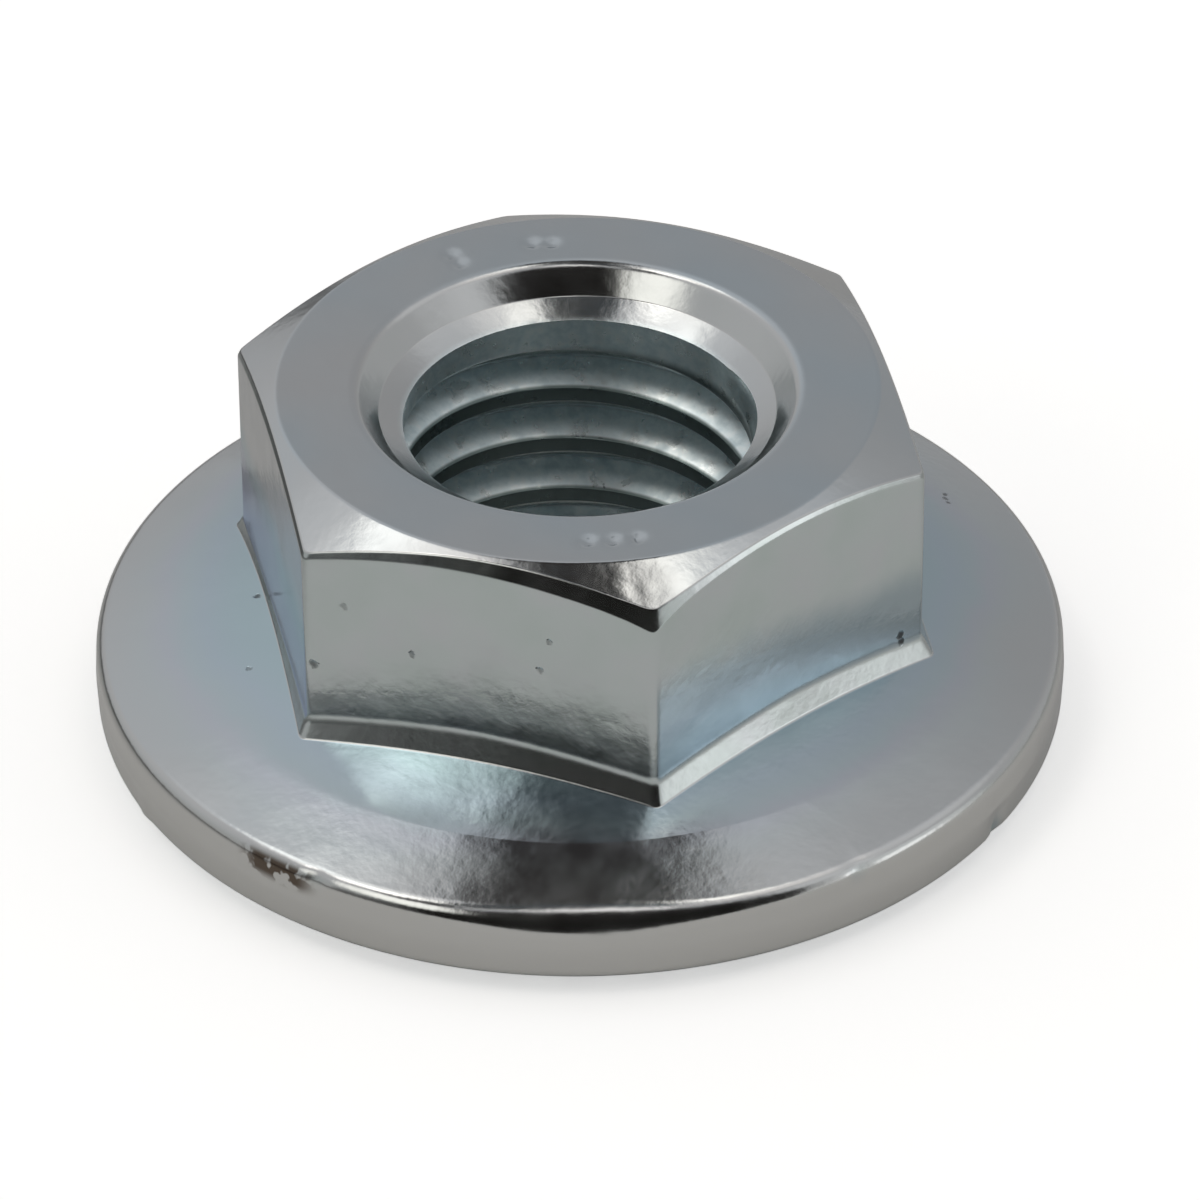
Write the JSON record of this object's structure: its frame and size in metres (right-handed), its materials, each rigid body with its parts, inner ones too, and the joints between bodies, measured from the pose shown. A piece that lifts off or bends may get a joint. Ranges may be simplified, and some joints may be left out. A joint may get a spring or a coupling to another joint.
{
  "type": "serrated hexagon flange nut",
  "caption": "Hexagon nut with a wide conical flange, a ring of ratchet teeth under it and a threaded through bore.",
  "frame": {"origin": "on the bore's axis, in the plane of the tooth tips that bear on the clamped part", "axes": "+Z along the bore towards the wrench end; +X through a corner of the hexagon"},
  "size_m": [0.0236, 0.0236, 0.0092],
  "materials": {
    "zinc_plated_steel": "bright zinc plating, clear bluish passivation, semi-gloss"
  },
  "bodies": {
    "root": {"serrated_flange_nut": "zinc_plated_steel"}
  },
  "joints": []
}
